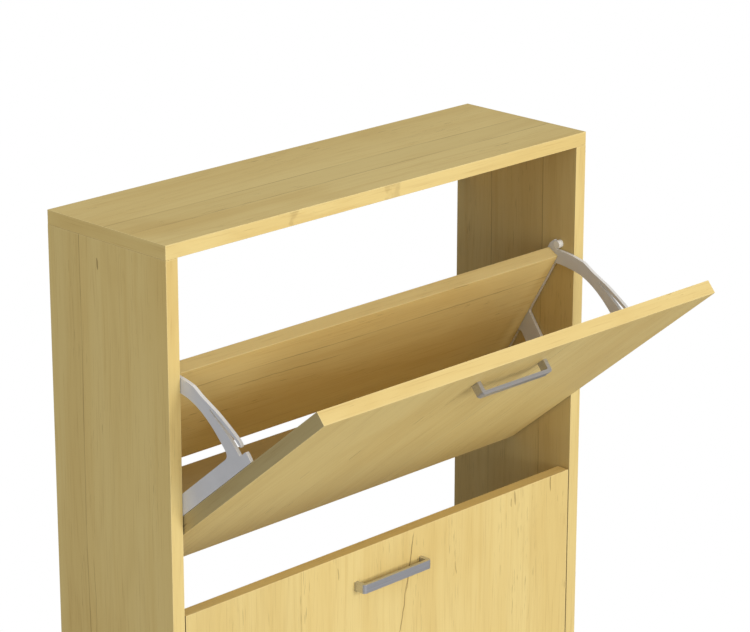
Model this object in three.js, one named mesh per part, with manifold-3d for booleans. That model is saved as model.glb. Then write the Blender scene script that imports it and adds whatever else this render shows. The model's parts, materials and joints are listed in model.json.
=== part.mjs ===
// A slim shoe cabinet with two tilt-out flaps, one above the other, in millimetres.
// X runs to the right, Y to the back and Z up. The origin is the middle of the base
// panel's underside, on the floor. The upper flap stands open at its stop and the
// lower flap is closed.
//
// Each flap turns on two pivot pins. A plastic bracket at each end of the flap carries
// an arch concentric with the pivot. A stop pin on the side panel runs along the top of
// that arch, from the door's inner face (closed) to a hook at the back (open).

import * as THREE from 'three';
import { mergeVertices } from 'three/addons/utils/BufferGeometryUtils.js';
import Module from 'manifold-3d';

const wasm = await Module();
wasm.setup();

const degree = Math.PI / 180;

// The cabinet.
const cabinetWidth = 600;
const cabinetDepth = 174;
const board = 15;
const railHeight = 60;

// The gaps round the two inset doors.
const doorHeight = 363;
const topGap = 1.5;
const doorGap = 3.5;
const baseGap = 4;
const sideGap = 1.5;

// The gap between a bracket and the side panel it turns against.
const bracketGap = 0.5;

// The free space round a piece that sits in a hole or against a turned neighbour.
const fit = 0.3;

// The flap's pivot, measured from the closed door's front face and top edge.
const pivotBehindFront = 27;
const pivotBelowDoorTop = 267;
const openAngle = 50.25 * degree;
const pivotPinRadius = 3;

// The stop pin, measured from the pivot of the closed flap.
const stopPinRadius = 4.5;
const stopPinBack = -7.1;
const stopPinUp = 157.3;
const stopPinLength = 6.6;

// The bracket: a flat plate, with a narrow flange that lies on the door.
const plate = 4;
const flangeWidth = 16;
const flangeThickness = 3;
const stripBack = 5.8;
const thumbBack = -0.5;
const plateBottom = -95;
const archOuter = 151;
const archInner = 135.6;
const slotFloor = 141.3;
const legTilt = 20.25 * degree;
const legWidth = 17;
const legCorner = new THREE.Vector2(76.7, 20.4);
const legShoulder = 97.4;
const hookHeight = 6.2;

// The boards between the two brackets, measured along the leg's front edge from the
// point where that edge meets the arch.
const backBoardTop = -10;
const backBoardHeight = 141.5;

// The floor board of the pocket: its thickness and how far back it reaches.
const floorBoard = 12;
const floorBoardBack = 59;
const ledgeHeight = 2.4;

// The handle, a flat bar bent into a U.
const handleLength = 100.8;
const handleReach = 14.5;
const handleHeight = 10;
const handleBelowTop = 39;
const handleLeg = 4.8;
const handleBar = 4;
const handleScrewRadius = 1.3;

// Fasteners.
const dowelRadius = 4;
const dowelLength = 30;
const dowelInFace = 10;
const screwRadius = 1.75;
const screwHeadRadius = 3.5;
const roundSteps = 12;

// Sizes that follow from those above.
const cabinetHeight = board + baseGap + doorHeight + doorGap + doorHeight + topGap + board;
const frontFace = -cabinetDepth / 2;
const backFace = cabinetDepth / 2;
const sideInner = cabinetWidth / 2 - board;
const flapEnd = sideInner - sideGap;
const plateOuter = sideInner - bracketGap;
const plateInner = plateOuter - plate;
const boardEnd = plateInner - fit;
const pivotY = frontFace + pivotBehindFront;
const upperPivotZ = cabinetHeight - board - topGap - pivotBelowDoorTop;
const lowerPivotZ = upperPivotZ - doorHeight - doorGap;
const doorFront = -pivotBehindFront;
const doorInner = doorFront + board;
const doorTop = pivotBelowDoorTop;
const doorBottom = doorTop - doorHeight;
const stripFront = doorInner + fit;
const thumbTop = stopPinUp - stopPinRadius - fit;
const floorBoardBottom = plateBottom + ledgeHeight + fit;
const legUp = new THREE.Vector2(Math.sin(legTilt), Math.cos(legTilt));
const legBack = new THREE.Vector2(Math.cos(legTilt), -Math.sin(legTilt));

const wood = new THREE.MeshStandardMaterial({ color: 0xd9bd7c, roughness: 0.55, metalness: 0 });
const innerWood = new THREE.MeshStandardMaterial({ color: 0xc9a968, roughness: 0.6, metalness: 0 });
const greyPlastic = new THREE.MeshStandardMaterial({ color: 0xb9b9b6, roughness: 0.5, metalness: 0 });
const whitePlastic = new THREE.MeshStandardMaterial({ color: 0xe6e6e2, roughness: 0.4, metalness: 0 });
const brushedMetal = new THREE.MeshStandardMaterial({ color: 0xa9aaae, roughness: 0.35, metalness: 1 });
const screwSteel = new THREE.MeshStandardMaterial({ color: 0xb4b2ad, roughness: 0.35, metalness: 1 });
const dowelWood = new THREE.MeshStandardMaterial({ color: 0xd8c096, roughness: 0.8, metalness: 0 });

// Solids -------------------------------------------------------------------------------

// A closed mesh as a solid that can be cut and joined.
function solid(geometry) {
  const bare = new THREE.BufferGeometry();
  bare.setAttribute('position', geometry.getAttribute('position').clone());
  if (geometry.index) bare.setIndex(geometry.index.clone());
  const merged = mergeVertices(bare, 1e-4);
  const index = merged.index.array;
  const triangles = [];
  for (let i = 0; i < index.length; i += 3) {
    const [a, b, c] = [index[i], index[i + 1], index[i + 2]];
    if (a !== b && b !== c && c !== a) triangles.push(a, b, c);
  }
  const mesh = new wasm.Mesh({
    numProp: 3,
    vertProperties: new Float32Array(merged.getAttribute('position').array),
    triVerts: new Uint32Array(triangles),
  });
  return new wasm.Manifold(mesh);
}

function geometryOf(manifold) {
  const mesh = manifold.getMesh();
  const geometry = new THREE.BufferGeometry();
  geometry.setAttribute('position', new THREE.BufferAttribute(mesh.vertProperties.slice(), 3));
  geometry.setIndex(new THREE.BufferAttribute(mesh.triVerts.slice(), 1));
  geometry.computeVertexNormals();
  return geometry;
}

function cut(geometry, tools) {
  let body = solid(geometry);
  for (const tool of tools) body = body.subtract(solid(tool));
  return geometryOf(body);
}

function join(geometry, others) {
  let body = solid(geometry);
  for (const other of others) body = body.add(solid(other));
  return geometryOf(body);
}

// A box between two opposite corners.
function block(x0, y0, z0, x1, y1, z1) {
  const geometry = new THREE.BoxGeometry(x1 - x0, y1 - y0, z1 - z0);
  return geometry.translate((x0 + x1) / 2, (y0 + y1) / 2, (z0 + z1) / 2);
}

// A turned solid. The profile is a list of [radius, distance] pairs from axis to axis,
// and the distance runs from the point `from` along the unit vector `direction`.
function turned(profile, from, direction, steps = roundSteps) {
  const points = profile.map(([radius, distance]) => new THREE.Vector2(radius, distance));
  const geometry = new THREE.LatheGeometry(points, steps);
  const toAxis = new THREE.Quaternion().setFromUnitVectors(new THREE.Vector3(0, 1, 0), direction);
  return geometry.applyQuaternion(toAxis).translate(from.x, from.y, from.z);
}

function rod(radius, length, from, direction, steps = roundSteps) {
  return turned([[0, 0], [radius, 0], [radius, length], [0, length]], from, direction, steps);
}

// A closed outline's points, without any that lie on top of the one before.
function distinct(points) {
  const apart = 0.01;
  return points.filter((place, i) => place.distanceTo(points.at(i - 1)) > apart);
}

// A shape drawn in the plane of the cabinet's side (first Y, then Z), given a
// thickness along X from x0 to x1. Outline and holes are drawn the same way round,
// so the holes are turned over here.
function sideShape(shape, x0, x1, curveSteps = 6) {
  const outline = shape.extractPoints(curveSteps);
  const plain = new THREE.Shape(distinct(outline.shape));
  plain.holes = outline.holes.map((hole) => new THREE.Path(distinct(hole).reverse()));
  const geometry = new THREE.ExtrudeGeometry(plain, { depth: x1 - x0, bevelEnabled: false });
  const yAxis = new THREE.Vector3(0, 1, 0);
  const zAxis = new THREE.Vector3(0, 0, 1);
  const xAxis = new THREE.Vector3(1, 0, 0);
  geometry.applyMatrix4(new THREE.Matrix4().makeBasis(yAxis, zAxis, xAxis));
  return geometry.translate(x0, 0, 0);
}

const right = new THREE.Vector3(1, 0, 0);
const left = new THREE.Vector3(-1, 0, 0);
const back = new THREE.Vector3(0, 1, 0);
const forward = new THREE.Vector3(0, -1, 0);
const up = new THREE.Vector3(0, 0, 1);
const down = new THREE.Vector3(0, 0, -1);

function point(x, y, z) {
  return new THREE.Vector3(x, y, z);
}

const cabinet = new THREE.Group();

function add(group, name, geometry, material) {
  const mesh = new THREE.Mesh(geometry, material);
  mesh.name = name;
  group.add(mesh);
}

// Dowels and screws --------------------------------------------------------------------

// A dowel between two boards: the first stretch is in the face of one board, the rest
// in the edge of the other. `direction` points from the face into the edge's board.
function dowel(place, direction) {
  const chamfer = 1;
  const profile = [
    [0, 0],
    [dowelRadius - chamfer, 0],
    [dowelRadius, chamfer],
    [dowelRadius, dowelLength - chamfer],
    [dowelRadius - chamfer, dowelLength],
    [0, dowelLength],
  ];
  const from = place.clone().addScaledVector(direction, -dowelInFace);
  return turned(profile, from, direction);
}

// The hole for that dowel, through both boards' meeting faces.
function dowelHole(place, direction) {
  const from = place.clone().addScaledVector(direction, -dowelInFace - fit);
  return rod(dowelRadius + fit, dowelLength + 2 * fit, from, direction);
}

// A countersunk screw whose flat head lies at `place`, driven along `direction`.
function countersunkScrew(place, direction, length) {
  const profile = [
    [0, 0],
    [screwHeadRadius - fit, 0],
    [screwRadius, screwHeadRadius - screwRadius],
    [screwRadius, length - 2 * screwRadius],
    [0, length],
  ];
  return turned(profile, place, direction);
}

function countersunkHole(place, direction, length) {
  const depth = screwHeadRadius - screwRadius + 2 * fit;
  const radius = screwRadius + fit;
  const from = place.clone().addScaledVector(direction, -fit);
  const profile = [
    [0, 0],
    [screwHeadRadius + fit, 0],
    [screwHeadRadius + fit, fit],
    [radius, depth],
    [radius, length + 2 * fit],
    [0, length + 2 * fit],
  ];
  return turned(profile, from, direction);
}

// A pan-head screw whose head's underside lies at `place`, driven along `direction`.
function panScrew(place, direction, length, radius = screwRadius) {
  const headHeight = 2.2;
  const profile = [
    [0, -headHeight],
    [screwHeadRadius * 0.7, -headHeight],
    [screwHeadRadius, -headHeight * 0.5],
    [screwHeadRadius, 0],
    [radius, 0],
    [radius, length - radius],
    [0, length],
  ];
  return turned(profile, place, direction);
}

// The carcass --------------------------------------------------------------------------

const dowelDepths = [['front', -50], ['back', 45]];
const railDowelUp = railHeight / 2;

// The places where the top and base panels are pinned to one side panel.
function panelDowels(side) {
  const x = side * (sideInner + board / 2);
  return dowelDepths.flatMap(([depthName, y]) => [
    { name: `top_${depthName}`, place: point(x, y, cabinetHeight - board), direction: down },
    { name: `base_${depthName}`, place: point(x, y, board), direction: up },
  ]);
}

// The place where the rear rail is pinned to one side panel.
function railDowel(side) {
  const place = point(side * sideInner, backFace - board / 2, cabinetHeight - board - railDowelUp);
  return { name: 'rail', place, direction: side < 0 ? right : left };
}

function horizontalPanel(z0, z1) {
  const panel = block(-cabinetWidth / 2, frontFace, z0, cabinetWidth / 2, backFace, z1);
  const dowels = [-1, 1].flatMap(panelDowels);
  return cut(panel, dowels.map(({ place, direction }) => dowelHole(place, direction)));
}

// The blind hole in a side panel for the stud of a pivot pin or stop pin.
const studDepth = 9;

function studHole(side, radius, y, z) {
  const outwards = side < 0 ? left : right;
  const from = point(side * (sideInner - fit), y, z);
  return rod(radius + fit, studDepth + 2 * fit, from, outwards, 16);
}

function sidePanel(side) {
  const inner = side * sideInner;
  const outer = side * cabinetWidth / 2;
  const panel = block(
    Math.min(inner, outer), frontFace, board,
    Math.max(inner, outer), backFace, cabinetHeight - board,
  );
  const dowels = [...panelDowels(side), railDowel(side)];
  const holes = dowels.map(({ place, direction }) => dowelHole(place, direction));
  for (const pivotZ of [upperPivotZ, lowerPivotZ]) {
    holes.push(studHole(side, pivotPinRadius, pivotY, pivotZ));
    holes.push(studHole(side, pivotPinRadius, pivotY + stopPinBack, pivotZ + stopPinUp));
  }
  return cut(panel, holes);
}

function rearRail() {
  const top = cabinetHeight - board;
  const rail = block(-sideInner, backFace - board, top - railHeight, sideInner, backFace, top);
  return cut(rail, [-1, 1].map(railDowel).map(({ place, direction }) => dowelHole(place, direction)));
}

add(cabinet, 'top_panel', horizontalPanel(cabinetHeight - board, cabinetHeight), wood);
add(cabinet, 'base_panel', horizontalPanel(0, board), wood);
add(cabinet, 'rear_rail', rearRail(), wood);

for (const [sideName, side] of [['left', -1], ['right', 1]]) {
  add(cabinet, `side_panel_${sideName}`, sidePanel(side), wood);
  for (const { name, place, direction } of [...panelDowels(side), railDowel(side)]) {
    add(cabinet, `dowel_${sideName}_${name}`, dowel(place, direction), dowelWood);
  }
}

// Pins in the side panels --------------------------------------------------------------

// The pivot pin: a stud in the side panel and the journal that the bracket turns on.
function pivotPin(side, pivotZ) {
  const chamfer = 0.6;
  const end = sideInner - plateInner + 1;
  const profile = [
    [0, -studDepth],
    [pivotPinRadius, -studDepth],
    [pivotPinRadius, end - chamfer],
    [pivotPinRadius - chamfer, end],
    [0, end],
  ];
  return turned(profile, point(side * sideInner, pivotY, pivotZ), side < 0 ? right : left, 16);
}

// The stop pin: a stud in the side panel and a thicker, rounded body.
function stopPin(side, pivotZ) {
  const rounding = 0.7;
  const place = point(side * sideInner, pivotY + stopPinBack, pivotZ + stopPinUp);
  const profile = [
    [0, -studDepth],
    [pivotPinRadius, -studDepth],
    [pivotPinRadius, fit / 3],
    [stopPinRadius, fit / 3],
    [stopPinRadius, stopPinLength - rounding],
    [stopPinRadius - rounding * 0.3, stopPinLength - rounding * 0.3],
    [stopPinRadius - rounding, stopPinLength],
    [0, stopPinLength],
  ];
  return turned(profile, place, side < 0 ? right : left, 20);
}

// The flap -----------------------------------------------------------------------------
// A flap is drawn closed, with its pivot at the origin of its own group.

// A point of the bracket at a radius from the pivot and an angle from straight up
// towards the back.
function polar(radius, angle) {
  return new THREE.Vector2(radius * Math.sin(angle), radius * Math.cos(angle));
}

// An arc about the pivot in a path, from one angle to another.
function archArc(path, radius, fromAngle, toAngle) {
  path.absarc(0, 0, radius, Math.PI / 2 - fromAngle, Math.PI / 2 - toAngle, toAngle > fromAngle);
}

function lineTo(path, place) {
  path.lineTo(place.x, place.y);
}

function curveTo(path, control, end) {
  path.quadraticCurveTo(control.x, control.y, end.x, end.y);
}

// The point on the leg's front edge at a height, and the same for the rear edge.
function legAtHeight(height, offset = 0) {
  const start = legCorner.clone().addScaledVector(legBack, offset);
  return start.addScaledVector(legUp, (height - start.y) / legUp.y);
}

// The point where the leg's front edge meets the inside of the arch.
function legAtArch() {
  const along = legCorner.dot(legUp);
  const rise = -along + Math.sqrt(along ** 2 - legCorner.lengthSq() + archInner ** 2);
  return legCorner.clone().addScaledVector(legUp, rise);
}

// The thumb at the door's end of the bracket, under the stop pin, down to the bottom of
// the notch behind it.
function drawThumb(path) {
  const corner = 1.5;
  path.moveTo(stripFront, plateBottom + corner);
  path.lineTo(stripFront, thumbTop - corner);
  path.quadraticCurveTo(stripFront, thumbTop, stripFront + corner, thumbTop);
  path.lineTo(thumbBack - corner, thumbTop);
  path.quadraticCurveTo(thumbBack, thumbTop, thumbBack, thumbTop - corner);
  path.lineTo(thumbBack, slotFloor + 2);
  path.quadraticCurveTo(thumbBack, slotFloor, thumbBack + 2, slotFloor - 0.02);
}

// The spring finger: the slot under it, its tip, and its back as far as the arch.
function drawFinger(path) {
  archArc(path, slotFloor, 1 * degree, 15 * degree);
  curveTo(path, polar(slotFloor + 0.6, 19 * degree), polar(143.4, 22.4 * degree));
  lineTo(path, polar(144.4, 22.2 * degree));
  curveTo(path, polar(145, 13 * degree), polar(147.3, 6 * degree));
  curveTo(path, polar(147.6, 3 * degree), polar(148.6, 2.2 * degree));
  curveTo(path, polar(archOuter, 2 * degree), polar(archOuter, 4.6 * degree));
  curveTo(path, polar(149.4, 11 * degree), polar(147.9, 19 * degree));
  curveTo(path, polar(147.4, 25 * degree), polar(148.2, 28.4 * degree));
  lineTo(path, polar(archOuter, 33 * degree));
}

// The arch's top as far as the hook, and the hook that stops the open flap.
function drawHook(path) {
  const pin = new THREE.Vector2(stopPinBack, stopPinUp);
  const radius = pin.length();
  const angle = Math.atan2(pin.x, pin.y) + openAngle;
  const seat = radius - archOuter;
  const outwards = polar(1, angle);
  const backwards = new THREE.Vector2(outwards.y, -outwards.x);
  const centre = polar(radius, angle);
  const spot = (behind, out) =>
    centre.clone().addScaledVector(backwards, behind).addScaledVector(outwards, out);
  const wall = stopPinRadius + fit;
  const rear = legAtHeight(legShoulder, legWidth);
  archArc(path, archOuter, 33 * degree, angle - 0.1 * degree);
  curveTo(path, spot(wall, -seat), spot(wall, -0.4));
  lineTo(path, spot(wall, 2.4));
  curveTo(path, spot(wall, 4.6), new THREE.Vector2(rear.x, rear.y + hookHeight));
  lineTo(path, rear);
}

// The leg's rear edge and the plate's bottom.
function drawRear(path) {
  const corner = 4;
  const heel = legAtHeight(plateBottom, legWidth);
  lineTo(path, legAtHeight(plateBottom + corner, legWidth));
  curveTo(path, heel, heel.clone().setX(heel.x - corner));
  path.lineTo(stripFront + 1.5, plateBottom);
  path.quadraticCurveTo(stripFront, plateBottom, stripFront, plateBottom + 1.5);
}

// The large opening between strip, arch, leg and cross arm.
function upperOpening() {
  const path = new THREE.Path();
  const fillet = 7;
  const armTop = 15.7;
  const roof = 126.5;
  path.moveTo(stripBack, armTop + fillet);
  path.lineTo(stripBack, roof - fillet);
  path.quadraticCurveTo(stripBack, roof, stripBack + fillet, roof);
  curveTo(path, new THREE.Vector2(52, roof), polar(archInner, 33 * degree));
  const corner = legAtArch();
  archArc(path, archInner, 33 * degree, Math.atan2(corner.x, corner.y) - 1 * degree);
  curveTo(path, corner, corner.clone().addScaledVector(legUp, -2.5));
  lineTo(path, legCorner.clone().addScaledVector(legUp, 2));
  curveTo(path, legCorner, legCorner.clone().add(new THREE.Vector2(-2, -0.15)));
  path.lineTo(stripBack + fillet, armTop + 0.3);
  path.quadraticCurveTo(stripBack, armTop, stripBack, armTop + fillet);
  return path;
}

// The smaller opening between strip, cross arm, leg and foot.
function lowerOpening() {
  const path = new THREE.Path();
  const fillet = 5;
  const footTop = -80;
  const armBottom = -9;
  const apex = legAtHeight(-7.9);
  const heel = legAtHeight(footTop);
  path.moveTo(stripBack, footTop + fillet);
  path.lineTo(stripBack, armBottom - fillet);
  path.quadraticCurveTo(stripBack, armBottom, stripBack + fillet, armBottom);
  lineTo(path, apex.clone().add(new THREE.Vector2(-6, 3.6)));
  curveTo(path, apex.clone().add(new THREE.Vector2(0, 4.4)), apex);
  lineTo(path, heel.clone().addScaledVector(legUp, fillet));
  curveTo(path, heel, heel.clone().setX(heel.x - fillet));
  path.lineTo(stripBack + fillet, footTop);
  path.quadraticCurveTo(stripBack, footTop, stripBack, footTop + fillet);
  return path;
}

function bracketShape() {
  const shape = new THREE.Shape();
  drawThumb(shape);
  drawFinger(shape);
  drawHook(shape);
  drawRear(shape);
  shape.holes.push(upperOpening(), lowerOpening());
  return shape;
}

// Where a board lies along the leg: the middle of its thickness, at a distance below
// the point where the leg meets the arch.
function onLeg(distance, offset) {
  return legAtArch().addScaledVector(legUp, -distance).addScaledVector(legBack, offset);
}

// The screws through a bracket into the ends of the boards.
function boardScrewSpots() {
  const middle = board / 2 + fit;
  const inset = 28;
  return [
    { name: 'back_upper', spot: onLeg(backBoardTop + inset, middle) },
    { name: 'back_lower', spot: onLeg(backBoardTop + backBoardHeight - inset, middle) },
    { name: 'floor', spot: new THREE.Vector2(floorBoardBack / 2, floorBoardBottom + floorBoard / 2) },
  ];
}

const boardScrewLength = 28;
const flangeScrewHeights = [['upper', 96], ['lower', -50]];
const flangeScrewLength = 14;
const flangeTop = 118;
const flangeBottom = -78;

function flangeScrewPlace(side, height) {
  return point(side * (plateInner - flangeWidth / 2), stripFront + flangeThickness, height);
}

function boardScrewHoles(side) {
  const inwards = side < 0 ? right : left;
  return boardScrewSpots().map(({ spot }) =>
    countersunkHole(point(side * plateOuter, spot.x, spot.y), inwards, boardScrewLength));
}

// The bracket: plate, flange and a boss round the pivot, with its bores.
function bracket(side) {
  const [x0, x1] = side < 0 ? [-plateOuter, -plateInner] : [plateInner, plateOuter];
  const flangeEnd = side * (plateInner - flangeWidth);
  const rooted = side * (plateInner + 0.5);
  const inwards = side < 0 ? right : left;
  const flange = block(
    Math.min(flangeEnd, rooted), stripFront, flangeBottom,
    Math.max(flangeEnd, rooted), stripFront + flangeThickness, flangeTop,
  );
  const ledge = block(
    Math.min(side * (plateInner - 9), rooted), stripBack + 2, plateBottom,
    Math.max(side * (plateInner - 9), rooted), stripBack + 24, plateBottom + ledgeHeight,
  );
  const boss = rod(7.5, 2, point(side * (plateInner + 0.5), 0, 0), inwards, 24);
  const body = join(sideShape(bracketShape(), x0, x1), [flange, ledge, boss]);
  const bore = rod(pivotPinRadius + fit, 12, point(side * (plateOuter + 2), 0, 0), inwards, 24);
  const screwHoles = flangeScrewHeights.map(([, height]) =>
    rod(screwRadius + fit, 12, flangeScrewPlace(side, height).add(point(0, 5, 0)), forward));
  return cut(body, [bore, ...screwHoles, ...boardScrewHoles(side)]);
}

function bothBoardScrewHoles() {
  return [-1, 1].flatMap(boardScrewHoles);
}

// The board that lies against the legs, behind their front edges.
function backBoard() {
  const shape = new THREE.Shape([
    onLeg(backBoardTop, fit),
    onLeg(backBoardTop + backBoardHeight, fit),
    onLeg(backBoardTop + backBoardHeight, fit + board),
    onLeg(backBoardTop, fit + board),
  ]);
  return cut(sideShape(shape, -boardEnd, boardEnd), bothBoardScrewHoles());
}

// The pocket's floor: a board on the brackets' ledges, from the flange on the door back
// past the legs.
function pocketFloor() {
  const frontEdge = stripFront + flangeThickness + fit;
  const slab = block(
    -boardEnd, frontEdge, floorBoardBottom,
    boardEnd, floorBoardBack, floorBoardBottom + floorBoard,
  );
  return cut(slab, bothBoardScrewHoles());
}

// Handle screws: one in each leg of the handle, driven from inside the door.
const handleZ = doorTop - handleBelowTop;
const handleScrewX = handleLength / 2 - handleLeg / 2;
const handleScrewLength = 24;

function handleScrewHole(side) {
  const from = point(side * handleScrewX, doorInner + 1, handleZ);
  return rod(handleScrewRadius + fit, handleScrewLength + 1.5, from, forward);
}

function door() {
  const slab = block(-flapEnd, doorFront, doorBottom, flapEnd, doorInner, doorTop);
  const holes = [-1, 1].map(handleScrewHole);
  for (const side of [-1, 1]) {
    for (const [, height] of flangeScrewHeights) {
      const from = flangeScrewPlace(side, height).setY(doorInner + 1);
      holes.push(rod(screwRadius + fit, flangeScrewLength - flangeThickness + 1.5, from, forward));
    }
  }
  return cut(slab, holes);
}

// The handle's outline seen from above: a U with rounded outer corners.
function handle() {
  const half = handleLength / 2;
  const outerCorner = 4;
  const innerCorner = 1.5;
  const face = doorFront - fit / 3;
  const bar = doorFront - handleReach;
  const inner = bar + handleBar;
  const shape = new THREE.Shape();
  shape.moveTo(-half, face);
  shape.lineTo(-half, bar + outerCorner);
  shape.absarc(-half + outerCorner, bar + outerCorner, outerCorner, Math.PI, Math.PI * 1.5, false);
  shape.lineTo(half - outerCorner, bar);
  shape.absarc(half - outerCorner, bar + outerCorner, outerCorner, -Math.PI / 2, 0, false);
  shape.lineTo(half, face);
  shape.lineTo(half - handleLeg, face);
  shape.lineTo(half - handleLeg, inner + innerCorner);
  shape.absarc(half - handleLeg - innerCorner, inner + innerCorner, innerCorner, 0, -Math.PI / 2, true);
  shape.lineTo(-half + handleLeg + innerCorner, inner);
  shape.absarc(-half + handleLeg + innerCorner, inner + innerCorner, innerCorner, -Math.PI / 2, -Math.PI, true);
  shape.lineTo(-half + handleLeg, face);
  const settings = { depth: handleHeight, bevelEnabled: false, curveSegments: 6 };
  const grip = new THREE.ExtrudeGeometry(shape, settings).translate(0, 0, handleZ - handleHeight / 2);
  return cut(grip, [-1, 1].map(handleScrewHole));
}

function addFlap(name, pivotZ, angle) {
  const flap = new THREE.Group();
  flap.position.set(0, pivotY, pivotZ);
  flap.rotation.x = angle;
  cabinet.add(flap);

  add(flap, `${name}_door`, door(), wood);
  add(flap, `${name}_handle`, handle(), brushedMetal);
  add(flap, `${name}_back_board`, backBoard(), innerWood);
  add(flap, `${name}_floor_board`, pocketFloor(), innerWood);

  for (const [sideName, side] of [['left', -1], ['right', 1]]) {
    const inwards = side < 0 ? right : left;
    add(flap, `${name}_bracket_${sideName}`, bracket(side), greyPlastic);
    add(cabinet, `${name}_pivot_pin_${sideName}`, pivotPin(side, pivotZ), whitePlastic);
    add(cabinet, `${name}_stop_pin_${sideName}`, stopPin(side, pivotZ), whitePlastic);
    const handleScrewPlace = point(side * handleScrewX, doorInner + fit / 3, handleZ);
    const handleScrew = panScrew(handleScrewPlace, forward, handleScrewLength, handleScrewRadius);
    add(flap, `${name}_handle_screw_${sideName}`, handleScrew, screwSteel);
    for (const [heightName, height] of flangeScrewHeights) {
      const place = flangeScrewPlace(side, height).add(point(0, fit / 3, 0));
      const screw = panScrew(place, forward, flangeScrewLength);
      add(flap, `${name}_door_screw_${sideName}_${heightName}`, screw, screwSteel);
    }
    for (const { name: boardName, spot } of boardScrewSpots()) {
      const place = point(side * plateOuter, spot.x, spot.y);
      const screw = countersunkScrew(place, inwards, boardScrewLength);
      add(flap, `${name}_${boardName}_screw_${sideName}`, screw, screwSteel);
    }
  }
}

addFlap('upper', upperPivotZ, openAngle);
addFlap('lower', lowerPivotZ, 0);

export default cabinet;
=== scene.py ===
import json
import math

import bmesh
import bpy
from mathutils import Matrix, Vector


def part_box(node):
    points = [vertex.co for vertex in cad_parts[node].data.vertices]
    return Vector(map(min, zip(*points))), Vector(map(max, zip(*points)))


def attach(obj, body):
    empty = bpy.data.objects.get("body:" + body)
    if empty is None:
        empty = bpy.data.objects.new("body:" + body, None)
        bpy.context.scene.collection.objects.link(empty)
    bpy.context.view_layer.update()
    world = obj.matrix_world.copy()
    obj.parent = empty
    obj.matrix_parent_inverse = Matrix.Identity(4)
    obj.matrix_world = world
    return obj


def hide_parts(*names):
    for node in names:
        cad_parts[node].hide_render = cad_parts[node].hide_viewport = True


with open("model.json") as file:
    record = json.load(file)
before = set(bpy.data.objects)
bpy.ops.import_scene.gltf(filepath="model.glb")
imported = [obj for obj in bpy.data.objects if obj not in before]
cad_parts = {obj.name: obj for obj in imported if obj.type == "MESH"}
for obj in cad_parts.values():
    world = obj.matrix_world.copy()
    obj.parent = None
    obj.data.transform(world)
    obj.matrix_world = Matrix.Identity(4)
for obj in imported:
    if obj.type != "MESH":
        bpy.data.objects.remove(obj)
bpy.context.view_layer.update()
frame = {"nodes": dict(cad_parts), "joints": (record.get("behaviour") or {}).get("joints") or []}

MM = 0.001
X = Vector((1, 0, 0))
Y = Vector((0, 1, 0))
Z = Vector((0, 0, 1))

# The flaps' hinges, as the frame says, and the tilt of the brackets' rear legs.
JOINTS = {joint["name"]: joint for joint in frame["joints"]}
OPEN_ANGLE = -math.radians(JOINTS["upper_flap_tilt"]["range_deg"][0])
LEG_TILT = math.radians(20.25)
FLAP_ANGLE = {"upper": OPEN_ANGLE, "lower": 0.0}

# How much the edges of each kind of piece are rounded, and from which angle on an edge
# counts as sharp.
BOARD_EDGE = 0.45 * MM
PLASTIC_EDGE = 0.45 * MM
METAL_EDGE = 0.5 * MM
ROUNDING_STEPS = 2
SHARP_ANGLE = math.radians(38)


# Node graphs --------------------------------------------------------------------------


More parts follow.
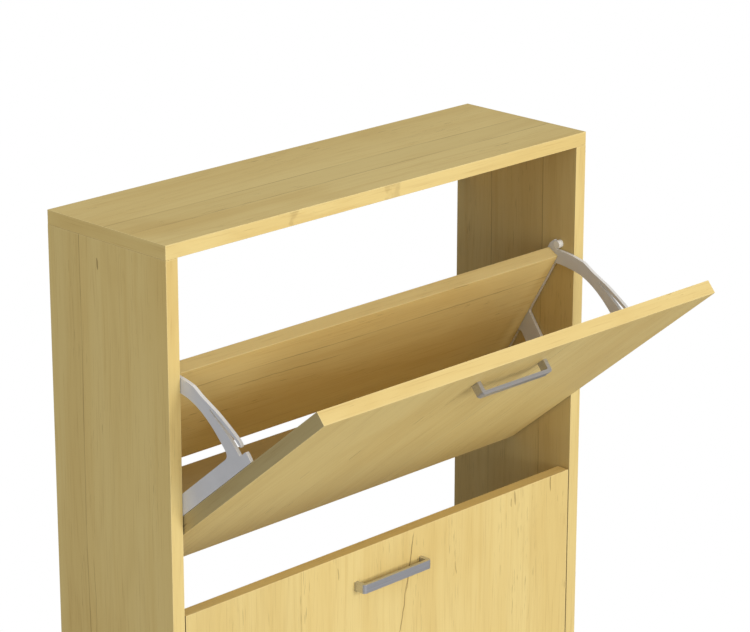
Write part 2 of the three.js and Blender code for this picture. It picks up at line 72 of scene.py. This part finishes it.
class Graph:
    """A material's nodes, with short ways to write the usual ones."""

    def __init__(self, name):
        self.material = bpy.data.materials.new(name)
        self.material.use_nodes = True
        self.tree = self.material.node_tree
        self.tree.nodes.clear()
        self.shader = self.tree.nodes.new("ShaderNodeBsdfPrincipled")
        output = self.tree.nodes.new("ShaderNodeOutputMaterial")
        self.link(self.shader.outputs["BSDF"], output.inputs["Surface"])

    def link(self, source, socket):
        self.tree.links.new(source, socket)

    def put(self, socket, value):
        """Sets a socket to a number or a colour, or links another node's output to it."""
        if isinstance(value, bpy.types.NodeSocket):
            self.link(value, socket)
        else:
            socket.default_value = value

    def math(self, operation, a, b=0.0, c=0.0, clamp=False):
        node = self.tree.nodes.new("ShaderNodeMath")
        node.operation = operation
        node.use_clamp = clamp
        for socket, value in zip(node.inputs, (a, b, c)):
            self.put(socket, value)
        return node.outputs[0]

    def object_place(self):
        return self.tree.nodes.new("ShaderNodeTexCoord").outputs["Object"]

    def separate(self, vector):
        node = self.tree.nodes.new("ShaderNodeSeparateXYZ")
        self.put(node.inputs[0], vector)
        return node.outputs[0], node.outputs[1], node.outputs[2]

    def combine(self, x, y, z):
        node = self.tree.nodes.new("ShaderNodeCombineXYZ")
        for socket, value in zip(node.inputs, (x, y, z)):
            self.put(socket, value)
        return node.outputs[0]

    def stretch(self, vector, scale, shift=(0.0, 0.0, 0.0)):
        node = self.tree.nodes.new("ShaderNodeMapping")
        self.put(node.inputs["Vector"], vector)
        node.inputs["Scale"].default_value = scale
        node.inputs["Location"].default_value = shift
        return node.outputs[0]

    def noise(self, vector, detail=3.0, roughness=0.5, distortion=0.0):
        node = self.tree.nodes.new("ShaderNodeTexNoise")
        self.put(node.inputs["Vector"], vector)
        node.inputs["Scale"].default_value = 1.0
        node.inputs["Detail"].default_value = detail
        node.inputs["Roughness"].default_value = roughness
        node.inputs["Distortion"].default_value = distortion
        return node.outputs["Fac"]

    def remap(self, value, low, high, to_low=0.0, to_high=1.0, smooth=True):
        node = self.tree.nodes.new("ShaderNodeMapRange")
        node.interpolation_type = "SMOOTHSTEP" if smooth else "LINEAR"
        self.put(node.inputs["Value"], value)
        self.put(node.inputs["From Min"], low)
        self.put(node.inputs["From Max"], high)
        self.put(node.inputs["To Min"], to_low)
        self.put(node.inputs["To Max"], to_high)
        return node.outputs["Result"]

    def mix(self, factor, a, b, mode="MIX"):
        node = self.tree.nodes.new("ShaderNodeMix")
        node.data_type = "RGBA"
        node.blend_type = mode
        self.put(node.inputs["Factor"], factor)
        self.put(node.inputs["A"], a)
        self.put(node.inputs["B"], b)
        return node.outputs["Result"]

    def bump(self, height, distance, strength=1.0):
        node = self.tree.nodes.new("ShaderNodeBump")
        node.inputs["Strength"].default_value = strength
        node.inputs["Distance"].default_value = distance
        self.put(node.inputs["Height"], height)
        return node.outputs["Normal"]


def srgb(red, green, blue):
    """A colour from its 0 to 255 screen values, as linear light."""
    def linear(value):
        share = value / 255
        return share / 12.92 if share <= 0.04045 else ((share + 0.055) / 1.055) ** 2.4
    return (linear(red), linear(green), linear(blue), 1.0)


def edge_distance(graph, place, half):
    """The distance from the nearest edge of a board of these half sizes."""
    sides = []
    for coordinate, size in zip(graph.separate(place), half):
        sides.append(graph.math("SUBTRACT", size, graph.math("ABSOLUTE", coordinate)))
    low = graph.math("MINIMUM", sides[0], sides[1])
    high = graph.math("MAXIMUM", sides[0], sides[1])
    return graph.math("MAXIMUM", low, graph.math("MINIMUM", high, sides[2]))


# Materials ----------------------------------------------------------------------------

# The wood's colours. A crack's colour is also that of pores and glue lines.
WOOD_PALE = srgb(236, 211, 141)
WOOD_MIDDLE = srgb(230, 202, 130)
WOOD_WARM = srgb(220, 188, 114)
WOOD_DARK = srgb(176, 134, 68)
# A paler colour, painted along the edges as a highlight.
WOOD_EDGE_HIGHLIGHT = srgb(244, 224, 162)
CRACK = srgb(112, 78, 34)


def darker(graph, first, second):
    """Two masks of dark lines laid over one another."""
    return second if first is None else graph.math("MAXIMUM", first, second)


def stave_seams(graph, grain, line, place, seams, seed, shift):
    """The glue lines between staves, and the shade that each stave has."""
    lines = None
    shade = 1.0
    ragged = graph.noise(graph.stretch(place, (60, 60, 60), shift), detail=2.0)
    ragged = graph.math("SUBTRACT", ragged, 0.5)
    for number, seam in enumerate(seams):
        offset = graph.math("SUBTRACT", line, seam)
        side = graph.remap(offset, -0.0004, 0.0004)
        step = 0.035 if number % 2 else -0.035
        shade = graph.math("MULTIPLY_ADD", side, step, shade)
        gap = graph.math("ABSOLUTE", graph.math("MULTIPLY_ADD", ragged, 0.0008, offset))
        strength = graph.noise(graph.stretch(grain, (9, 2, 2), (seed + number, 0, 0)), detail=2.0)
        mark = graph.remap(gap, 0.0002, 0.0008, 1.0, 0.0)
        mark = graph.math("MULTIPLY", mark, graph.remap(strength, 0.34, 0.6, 0.15, 0.6))
        lines = darker(graph, lines, mark)
    return lines, shade


def wandering_crack(graph, along, over, place, crack, seed):
    """One thin dark line that tapers to both ends and wanders a little."""
    at, over_at, length, width, lean, strength = crack
    run = graph.math("SUBTRACT", along, at)
    ripple = graph.stretch(place, (40, 40, 40), (over_at * 90, at * 70, seed))
    drift = graph.math("SUBTRACT", graph.noise(ripple, detail=3.0), 0.5)
    centre = graph.math("MULTIPLY_ADD", run, lean, over_at)
    gap = graph.math("SUBTRACT", graph.math("MULTIPLY_ADD", drift, 0.006, over), centre)
    gap = graph.math("ABSOLUTE", gap)
    reach = graph.math("DIVIDE", graph.math("ABSOLUTE", run), length / 2)
    taper = graph.remap(reach, 0.35, 1.0, 1.0, 0.0)
    edge = graph.math("MULTIPLY", taper, width)
    soft = graph.math("ADD", edge, 0.0005)
    mark = graph.remap(gap, graph.math("MULTIPLY", edge, 0.4), soft, 1.0, 0.0)
    present = graph.math("MINIMUM", graph.math("MULTIPLY", taper, 3), 1)
    return graph.math("MULTIPLY", graph.math("MULTIPLY", mark, present), strength)


def wood(name, seed, half, across=False, tone_and_painted_light=1.0, seams=(), cracks=(), figure=1.0):
    """Wood with its grain along the board's own X, or along its Y on an end band.

    seams are glue lines between staves, each a place across the grain. cracks are
    (place along, place across, length, width, lean, strength) in metres. The colour is
    multiplied by a number or three, one for each colour: on the boards this is mostly
    painted light or shade on a single face, on the dowels a paler wood.
    """
    graph = Graph(name)
    place = graph.object_place()
    x, y, z = graph.separate(place)
    along, over = (y, x) if across else (x, y)
    shift = (seed * 1.37, seed * 2.11, seed * 0.83)

    # The grain wanders a little, so everything below is drawn on wandering lines.
    wander = graph.noise(graph.stretch(place, (3.5, 3.5, 3.5), shift), detail=1.0)
    wander = graph.math("SUBTRACT", wander, 0.5)
    line = graph.math("MULTIPLY_ADD", wander, 0.010, over)
    grain = graph.combine(along, line, z)

    broad = graph.noise(graph.stretch(grain, (1.6, 20, 20), shift), detail=3.0)
    medium = graph.noise(graph.stretch(grain, (4, 110, 110), shift), detail=3.0, roughness=0.6)
    fine = graph.noise(graph.stretch(grain, (16, 700, 700), shift), detail=2.0, roughness=0.6)
    cloud = graph.noise(graph.stretch(place, (7, 11, 11), shift), detail=2.0)

    # Growth rings, seen as pale and warm bands that close into long arches.
    rings = graph.noise(graph.stretch(grain, (0.9, 9, 9), shift), detail=1.0, distortion=0.4)
    rings = graph.math("FRACT", graph.math("MULTIPLY", rings, 13.0))
    rings = graph.math("ABSOLUTE", graph.math("SUBTRACT", rings, 0.5))
    rings = graph.remap(rings, 0.32, 0.5)

    colour = graph.mix(graph.remap(broad, 0.34, 0.66), WOOD_PALE, WOOD_MIDDLE)
    colour = graph.mix(graph.remap(medium, 0.50, 0.78, 0.0, 0.42 * figure), colour, WOOD_WARM)
    colour = graph.mix(graph.remap(cloud, 0.52, 0.75, 0.0, 0.35), colour, WOOD_WARM)
    colour = graph.mix(graph.math("MULTIPLY", rings, 0.06 * figure), colour, WOOD_DARK)
    colour = graph.mix(graph.remap(fine, 0.52, 0.82, 0.0, 0.30), colour, WOOD_DARK)

    # Short dark pores that gather in patches.
    pores = graph.noise(graph.stretch(grain, (45, 900, 900), shift), detail=1.0)
    patches = graph.noise(graph.stretch(grain, (5, 26, 26), shift), detail=1.0)
    pores = graph.remap(pores, 0.66, 0.76)
    pores = graph.math("MULTIPLY", pores, graph.remap(patches, 0.48, 0.66, 0.0, 0.5))
    colour = graph.mix(pores, colour, CRACK)

    # Staves: each has its own shade, and a thin line where it meets the next.
    lines, shade = stave_seams(graph, grain, line, place, seams, seed, shift)
    for crack in cracks:
        lines = darker(graph, lines, wandering_crack(graph, along, over, place, crack, seed))
    if lines is not None:
        colour = graph.mix(graph.math("MULTIPLY", lines, 0.8), colour, CRACK)
    if seams:
        colour = graph.mix(1.0, colour, graph.combine(shade, shade, shade), "MULTIPLY")

    # Painted highlight: the edges are painted paler, in patches, as where they catch the light; the
    # same mask makes them a little rougher.
    edge_patch_noise = graph.noise(graph.stretch(place, (55, 55, 55), shift), detail=2.0)
    near = graph.math("MULTIPLY_ADD", edge_patch_noise, -0.0016, edge_distance(graph, place, half))
    edge_highlight_and_wear = graph.remap(near, -0.0006, 0.0006, 0.30, 0.0)
    colour = graph.mix(edge_highlight_and_wear, colour, WOOD_EDGE_HIGHLIGHT)

    # Painted light and shade: the colour is multiplied by the board's factor for this face.
    tone_and_light_factor = tone_and_painted_light if isinstance(tone_and_painted_light, tuple) else (tone_and_painted_light, tone_and_painted_light, tone_and_painted_light)
    colour = graph.mix(1.0, colour, tone_and_light_factor + (1.0,), "MULTIPLY")
    graph.link(colour, graph.shader.inputs["Base Color"])

    dull = graph.math("MULTIPLY_ADD", fine, 0.16, 0.44)
    dull = graph.math("MULTIPLY_ADD", edge_highlight_and_wear, 0.2, dull)
    graph.link(dull, graph.shader.inputs["Roughness"])
    graph.shader.inputs["Specular IOR Level"].default_value = 0.28
    height = graph.math("MULTIPLY_ADD", fine, 0.35, graph.math("MULTIPLY", pores, -0.6))
    if lines is not None:
        height = graph.math("MULTIPLY_ADD", lines, -1.0, height)
    graph.link(graph.bump(height, 0.00025, 0.6), graph.shader.inputs["Normal"])
    return graph.material


PLASTIC_SCUFF = (0.75, 0.75, 0.74, 1.0)


def shaded(colour, share):
    """A darker shade of a colour."""
    return tuple(value * share for value in colour[:3]) + (1.0,)


def plastic(name, base, seed, texture=0.5):
    """Moulded plastic with a fine spark-eroded texture and faint flow marks."""
    graph = Graph(name)
    place = graph.object_place()
    shift = (seed, seed * 1.7, seed * 0.6)
    flow = graph.noise(graph.stretch(place, (18, 18, 40), shift), detail=3.0)
    speck = graph.noise(graph.stretch(place, (1800, 1800, 1800), shift), detail=2.0)
    scuff = graph.noise(graph.stretch(place, (70, 260, 90), shift), detail=4.0, roughness=0.7)
    colour = graph.mix(graph.remap(flow, 0.35, 0.7), base, shaded(base, 0.93))
    colour = graph.mix(graph.remap(scuff, 0.62, 0.8, 0.0, 0.12), colour, PLASTIC_SCUFF)
    graph.link(colour, graph.shader.inputs["Base Color"])
    rough = graph.math("MULTIPLY_ADD", speck, 0.14, 0.36)
    rough = graph.math("MULTIPLY_ADD", scuff, 0.12, rough)
    graph.link(rough, graph.shader.inputs["Roughness"])
    graph.link(graph.bump(speck, 0.00012, texture), graph.shader.inputs["Normal"])
    return graph.material


def brushed_metal(name, base, seed, direction=(6, 1500, 1500), roughness=0.3):
    """Metal brushed along one direction, with a few finer scratches."""
    graph = Graph(name)
    place = graph.object_place()
    shift = (seed, seed * 0.4, seed * 2.3)
    brush = graph.noise(graph.stretch(place, direction, shift), detail=3.0, roughness=0.7)
    stain = graph.noise(graph.stretch(place, (60, 90, 90), shift), detail=3.0)
    dark = shaded(base, 0.8)
    colour = graph.mix(graph.remap(brush, 0.35, 0.7), base, dark)
    colour = graph.mix(graph.remap(stain, 0.5, 0.75, 0.0, 0.25), colour, dark)
    graph.link(colour, graph.shader.inputs["Base Color"])
    graph.shader.inputs["Metallic"].default_value = 1.0
    rough = graph.math("MULTIPLY_ADD", brush, 0.18, roughness - 0.06)
    rough = graph.math("MULTIPLY_ADD", stain, 0.08, rough)
    graph.link(rough, graph.shader.inputs["Roughness"])
    graph.link(graph.bump(brush, 0.00006, 0.5), graph.shader.inputs["Normal"])
    return graph.material


# Painted light and shade on single boards and faces, as multipliers on the unchanged wood
# at 1: painted shade on the floor board deep in the pocket, on the back board's top and
# bottom edges, on the doors' top and bottom faces (more on the lower door) and on the
# sides' inner faces, and painted light on the back board's face. The doors' side ends
# are darker and bluer.
POCKET_FLOOR_PAINTED_SHADE = (0.88, 0.86, 0.90)
BACK_BOARD_PAINTED_LIGHT = (1.06, 1.08, 1.16)
BACK_BOARD_EDGE_PAINTED_SHADE = (0.90, 0.90, 0.96)
DOOR_TOP_BOTTOM_PAINTED_SHADE = {"upper": (0.95, 0.94, 0.95), "lower": (0.90, 0.89, 0.95)}
DOOR_END_TONE = (0.62, 0.64, 0.74)
INNER_FACE_PAINTED_SHADE = (0.76, 0.76, 0.80)


# Pieces -------------------------------------------------------------------------------


def own_frame(along, normal, origin):
    """The place of a board: its own X runs along the grain and its own Z out of its face."""
    across = normal.cross(along)
    matrix = Matrix.Identity(4)
    for column, axis in enumerate((along, across, normal)):
        for row in range(3):
            matrix[row][column] = axis[row]
    matrix.translation = origin
    return matrix


def middle(node):
    low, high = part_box(node)
    return (low + high) / 2


def softened(node, body, matrix, edge, materials, pick=None):
    """A copy of a CAD node with its edges rounded, which stands for that node.

    pick gives each face's material number from its normal in the piece's own frame.
    """
    mesh = bmesh.new()
    mesh.from_mesh(frame["nodes"][node].data)
    bmesh.ops.transform(mesh, matrix=matrix.inverted(), verts=mesh.verts)
    bmesh.ops.remove_doubles(mesh, verts=mesh.verts, dist=0.004 * MM)
    bmesh.ops.dissolve_limit(
        mesh,
        angle_limit=math.radians(0.6),
        use_dissolve_boundaries=False,
        verts=mesh.verts,
        edges=mesh.edges,
    )
    sharp = [e for e in mesh.edges if len(e.link_faces) == 2 and e.calc_face_angle(0) > SHARP_ANGLE]
    bmesh.ops.bevel(
        mesh,
        geom=sharp,
        offset=edge,
        offset_type="OFFSET",
        segments=ROUNDING_STEPS,
        profile=0.5,
        affect="EDGES",
        clamp_overlap=True,
    )
    if pick:
        for face in mesh.faces:
            face.material_index = pick(face.normal)
    for face in mesh.faces:
        face.smooth = True
    data = bpy.data.meshes.new(node + "_soft")
    mesh.to_mesh(data)
    mesh.free()
    piece = bpy.data.objects.new(node + "_soft", data)
    bpy.context.scene.collection.objects.link(piece)
    for material in materials:
        data.materials.append(material)
    piece.matrix_world = matrix
    weighted = piece.modifiers.new("Face weighted normals", "WEIGHTED_NORMAL")
    weighted.keep_sharp = True
    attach(piece, body)
    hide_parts(node)
    return piece


def half_sizes(node, matrix):
    """Half of a board's size along each axis of its own frame, and its middle."""
    back = matrix.inverted()
    places = [back @ vertex.co for vertex in frame["nodes"][node].data.vertices]
    low = Vector([min(place[axis] for place in places) for axis in range(3)])
    high = Vector([max(place[axis] for place in places) for axis in range(3)])
    return (high - low) / 2, (high + low) / 2


def board(node, body, along, normal, slot_name, seed, tones_and_painted_light=None, **looks):
    """A board with its grain along one direction, and bands across its two ends.

    The dictionary of multipliers may give parts of the board a colour of their own, which
    mostly paints light or shade on them: "end" that of the two ends that the grain runs
    into, "inner" that of the face that looks away from `normal`, "edges" that of the two
    edges along the grain, and "face" that of all the rest.
    """
    tones_and_painted_light = tones_and_painted_light or {}
    matrix = own_frame(along, normal, middle(node))
    half, centre = half_sizes(node, matrix)
    matrix.translation = matrix @ centre
    # Painted light on the back board's face and painted shade on the pocket's floor board; 1 on the
    # other boards.
    face_painted_light = tones_and_painted_light.get("face", 1.0)
    materials = [
        wood(node + "_grain", seed, half, tone_and_painted_light=face_painted_light, **looks),
        wood(node + "_band", seed + 0.5, half, across=True, tone_and_painted_light=tones_and_painted_light.get("end", face_painted_light), figure=0.6),
    ]
    for part in ("inner", "edges"):
        if part in tones_and_painted_light:
            materials.append(wood(f"{node}_{part}", seed, half, tone_and_painted_light=tones_and_painted_light[part], **looks))

    def pick(normal):
        if abs(normal.x) > 0.8:
            return 1
        if "inner" in tones_and_painted_light and normal.z < -0.8:
            return 2
        if "edges" in tones_and_painted_light and abs(normal.y) > 0.8:
            return len(materials) - 1
        return 0

    return softened(node, body, matrix, BOARD_EDGE, materials, pick=pick)


def turned(vector, angle):
    return Matrix.Rotation(angle, 3, "X") @ vector


# The marks on the boards. Each is its place along the grain and across it, from the
# board's middle, then its length, its width, its lean and how dark it is.
TOP_CRACKS = [
    (-0.132, -0.0866, 0.020, 0.0003, 0.05, 0.25),
    (0.004, -0.0868, 0.026, 0.0003, 0.05, 0.25),
]
LEFT_SIDE_CRACKS = [
    (0.343, 0.014, 0.014, 0.0010, 0.05, 0.7),
    (-0.02, 0.030, 0.120, 0.0003, 0.02, 0.4),
]


def carcass():
    board("top_panel", "carcass", X, Z, "carcass_wood", 1.0,
          seams=[-0.035, 0.002], cracks=TOP_CRACKS)
    board("base_panel", "carcass", X, Z, "carcass_wood", 2.0, seams=[0.02])
    board("rear_rail", "carcass", X, Y, "carcass_wood", 3.0)
    # Painted shade: the sides' inner faces are painted darker, as they lie in the cabinet's shade.
    side_painted_shade = {"inner": INNER_FACE_PAINTED_SHADE}
    board("side_panel_left", "carcass", Z, -X, "carcass_wood", 4.0,
          tones_and_painted_light=side_painted_shade, seams=[0.040], cracks=LEFT_SIDE_CRACKS)
    board("side_panel_right", "carcass", Z, X, "carcass_wood", 5.0,
          tones_and_painted_light=side_painted_shade, seams=[-0.035, 0.04])


# On the doors, along is up and across is to the left.
LOWER_DOOR_CRACKS = [
    (0.145, -0.0322, 0.075, 0.0007, -0.18, 0.9),
    (0.090, -0.0212, 0.090, 0.0006, -0.20, 0.8),
    (0.174, -0.254, 0.024, 0.0007, 0.05, 0.8),
    (0.172, -0.196, 0.020, 0.0014, 0.10, 0.6),
    (0.168, -0.190, 0.012, 0.0010, 0.05, 0.5),
    (0.118, -0.103, 0.018, 0.0006, 0.08, 0.5),
    (0.163, 0.074, 0.016, 0.0006, 0.05, 0.5),
    (0.020, 0.180, 0.030, 0.0005, 0.06, 0.4),
    (-0.060, -0.090, 0.050, 0.0005, 0.05, 0.5),
    (-0.110, 0.060, 0.030, 0.0005, 0.08, 0.4),
]
UPPER_DOOR_CRACKS = [
    (0.129, -0.027, 0.028, 0.0012, -2.0, 0.5),
    (0.012, 0.115, 0.030, 0.0007, 0.10, 0.6),
    (0.068, 0.067, 0.024, 0.0006, 0.10, 0.6),
    (0.100, 0.051, 0.022, 0.0006, 0.08, 0.5),
    (0.002, 0.176, 0.026, 0.0006, 0.05, 0.5),
    (-0.106, 0.146, 0.024, 0.0006, 0.05, 0.5),
    (-0.040, -0.150, 0.050, 0.0005, 0.05, 0.4),
]
BACK_BOARD_CRACKS = [
    (0.128, -0.069, 0.028, 0.0005, 0.05, 0.6),
    (-0.100, -0.020, 0.180, 0.0004, 0.03, 0.5),
]


def flap(name):
    angle = FLAP_ANGLE[name]
    body = name + "_flap"
    door_up = turned(Z, angle)
    door_out = turned(-Y, angle)
    leg_back = turned(Y, angle - LEG_TILT)
    seed = {"upper": 10.0, "lower": 20.0}[name]
    cracks = {"upper": UPPER_DOOR_CRACKS, "lower": LOWER_DOOR_CRACKS}[name]
    seams = {"upper": [-0.06], "lower": [0.127]}[name]
    # Painted shade on the door's top and bottom faces, more on the lower door; its side ends are
    # darker and bluer.
    door_shade_and_colour = {"end": DOOR_TOP_BOTTOM_PAINTED_SHADE[name], "edges": DOOR_END_TONE}
    board(name + "_door", body, door_up, door_out, "door_wood", seed,
          tones_and_painted_light=door_shade_and_colour, seams=seams, cracks=cracks)
    # Painted light on the back board's face, and painted shade on its top and bottom edges.
    back_painted_light = {"face": BACK_BOARD_PAINTED_LIGHT, "edges": BACK_BOARD_EDGE_PAINTED_SHADE}
    board(name + "_back_board", body, X, leg_back, "inner_wood", seed + 2,
          tones_and_painted_light=back_painted_light, seams=[-0.040], cracks=BACK_BOARD_CRACKS)
    # Painted shade: the floor board at the bottom of the pocket is painted darker.
    board(name + "_floor_board", body, X, turned(Z, angle), "inner_wood", seed + 3,
          tones_and_painted_light={"face": POCKET_FLOOR_PAINTED_SHADE})
    for side in ("left", "right"):
        bracket = f"{name}_bracket_{side}"
        place = own_frame(X, turned(Z, angle), middle(bracket))
        # Painted light: the brackets' side faces are grey, and all their other faces get a paler
        # plastic so that their edges look lit.
        softened(
            bracket, body, place, PLASTIC_EDGE, [BRACKET_GREY, BRACKET_EDGE_PAINTED_LIGHT],
            pick=lambda normal: 0 if abs(normal.x) > 0.9 else 1,
        )
    handle = name + "_handle"
    place = own_frame(X, turned(Z, angle), middle(handle))
    softened(handle, body, place, METAL_EDGE, [HANDLE_METAL])


def fittings():
    """Pins, dowels and screws keep their CAD shapes and get their own materials."""
    for name, node in frame["nodes"].items():
        if "_pin_" in name:
            material = PIN_WHITE
        elif "screw" in name:
            material = SCREW_ZINC
        elif name.startswith("dowel"):
            material = DOWEL_WOOD
        else:
            continue
        node.data.materials.clear()
        node.data.materials.append(material)


# Light, floor and camera --------------------------------------------------------------


def area_light(name, place, aim, size, power, colour=(1.0, 1.0, 1.0)):
    data = bpy.data.lights.new(name, "AREA")
    data.shape = "SQUARE"
    data.size = size
    data.energy = power
    data.color = colour
    light = bpy.data.objects.new(name, data)
    light.location = place
    light.rotation_mode = "QUATERNION"
    light.rotation_quaternion = (Vector(aim) - Vector(place)).to_track_quat("-Z", "Y")
    bpy.context.scene.collection.objects.link(light)


# The lamps' powers in watts.
KEY_POWER = 78
GLINT_POWER = 9
OVERHEAD_POWER = 16
LEFT_POWER = 12

# The soft light from all round: its mean, and what the directions back and up add.
SKY_MEAN = 0.35
SKY_FROM_BEHIND = -0.19
SKY_FROM_ABOVE = 0.10


def sky_strength(nodes, links):
    """The soft light from all round: strongest from the front and from above."""
    place = nodes.new("ShaderNodeTexCoord")
    parts = nodes.new("ShaderNodeSeparateXYZ")
    links.new(place.outputs["Generated"], parts.inputs[0])
    total = None
    for axis, share in ((1, SKY_FROM_BEHIND), (2, SKY_FROM_ABOVE)):
        term = nodes.new("ShaderNodeMath")
        term.operation = "MULTIPLY_ADD"
        links.new(parts.outputs[axis], term.inputs[0])
        term.inputs[1].default_value = share
        if total is None:
            term.inputs[2].default_value = SKY_MEAN
        else:
            links.new(total, term.inputs[2])
        total = term.outputs[0]
    return total


def studio():
    """A white background, a soft sky that only lights, and four lamps."""
    world = bpy.data.worlds.new("studio")
    world.use_nodes = True
    nodes = world.node_tree.nodes
    links = world.node_tree.links
    nodes.clear()
    seen = nodes.new("ShaderNodeBackground")
    seen.inputs["Color"].default_value = (1.0, 1.0, 1.0, 1.0)
    seen.inputs["Strength"].default_value = 1.0
    fill = nodes.new("ShaderNodeBackground")
    fill.inputs["Color"].default_value = (1.0, 1.0, 1.0, 1.0)
    links.new(sky_strength(nodes, links), fill.inputs["Strength"])
    path = nodes.new("ShaderNodeLightPath")
    mix = nodes.new("ShaderNodeMixShader")
    output = nodes.new("ShaderNodeOutputWorld")
    links.new(path.outputs["Is Camera Ray"], mix.inputs["Fac"])
    links.new(fill.outputs["Background"], mix.inputs[1])
    links.new(seen.outputs["Background"], mix.inputs[2])
    links.new(mix.outputs["Shader"], output.inputs["Surface"])
    bpy.context.scene.world = world
    area_light("key", (0.35, -3.9, 1.35), (0, 0, 0.5), 1.6, KEY_POWER)
    area_light("corner_glint", (-2.5, -3.0, 0.75), (0, 0, 0.5), 0.45, GLINT_POWER)
    area_light("overhead", (0.0, -0.5, 3.4), (0, 0, 0.5), 2.4, OVERHEAD_POWER)
    area_light("left_fill", (-3.2, -0.3, 1.0), (0, 0, 0.45), 2.0, LEFT_POWER)


FLOOR_RADIUS = 1.3
FLOOR_FADE_START = 0.12
FLOOR_FADE_END = 0.62
FLOOR_STRENGTH = 0.55


def floor():
    """A round pale floor that fades out, so that it meets the background softly."""
    mesh = bmesh.new()
    bmesh.ops.create_circle(mesh, cap_ends=True, segments=96, radius=FLOOR_RADIUS)
    data = bpy.data.meshes.new("floor")
    mesh.to_mesh(data)
    mesh.free()
    ground = bpy.data.objects.new("floor", data)
    ground.location.z = -0.0005
    bpy.context.scene.collection.objects.link(ground)
    graph = Graph("floor_pale")
    x, y, _ = graph.separate(graph.object_place())
    squares = graph.math("ADD", graph.math("MULTIPLY", x, x), graph.math("MULTIPLY", y, y))
    reach = graph.math("SQRT", squares)
    graph.shader.inputs["Base Color"].default_value = (0.9, 0.9, 0.9, 1.0)
    graph.shader.inputs["Roughness"].default_value = 0.9
    fade = graph.remap(reach, FLOOR_FADE_START, FLOOR_FADE_END, FLOOR_STRENGTH, 0.0)
    graph.link(fade, graph.shader.inputs["Alpha"])
    data.materials.append(graph.material)


# The camera: seen from the front left and a little above.
CAMERA_AZIMUTH = math.radians(-45.218)
CAMERA_ELEVATION = math.radians(18.140)
CAMERA_ROLL = math.radians(0.076)
CAMERA_PLACE = (-2.0861, -2.1367, 1.5845)
CAMERA_LENS = 144.97
SENSOR_WIDTH = 36.0


def camera():
    azimuth, elevation, roll = CAMERA_AZIMUTH, CAMERA_ELEVATION, CAMERA_ROLL
    back = Vector((
        math.sin(azimuth) * math.cos(elevation),
        -math.cos(azimuth) * math.cos(elevation),
        math.sin(elevation),
    ))
    right = Vector((math.cos(azimuth), math.sin(azimuth), 0))
    up = back.cross(right)
    turned_right = math.cos(roll) * right + math.sin(roll) * up
    turned_up = -math.sin(roll) * right + math.cos(roll) * up
    data = bpy.data.cameras.new("camera")
    data.sensor_fit = "HORIZONTAL"
    data.sensor_width = SENSOR_WIDTH
    data.lens = CAMERA_LENS
    data.clip_start = 0.05
    data.clip_end = 50.0
    view = bpy.data.objects.new("camera", data)
    place = Matrix.Identity(4)
    for column, axis in enumerate((turned_right, turned_up, back)):
        for row in range(3):
            place[row][column] = axis[row]
    place.translation = CAMERA_PLACE
    view.matrix_world = place
    bpy.context.scene.collection.objects.link(view)
    bpy.context.scene.camera = view


# The materials that several pieces share.
BRACKET_GREY = plastic("bracket_grey", srgb(216, 217, 221), 1.0)
# A paler plastic for the brackets' edge faces, painted light that makes them look lit.
BRACKET_EDGE_PAINTED_LIGHT = plastic("bracket_edge_painted_light", srgb(236, 234, 230), 3.0)
PIN_WHITE = plastic("pin_white", srgb(232, 232, 228), 5.0, texture=0.3)
HANDLE_METAL = brushed_metal("handle_metal", (0.62, 0.62, 0.65, 1.0), 2.0)
SCREW_ZINC = brushed_metal("screw_zinc", (0.68, 0.67, 0.64, 1.0), 7.0, (900, 900, 900), 0.34)
DOWEL_WOOD = wood("dowel_beech", 30.0, (1.0, 1.0, 1.0), tone_and_painted_light=1.05)

carcass()
flap("upper")
flap("lower")
fittings()
studio()
floor()
camera()
bpy.context.scene.view_settings.view_transform = "Standard"
bpy.context.scene.view_settings.look = "None"
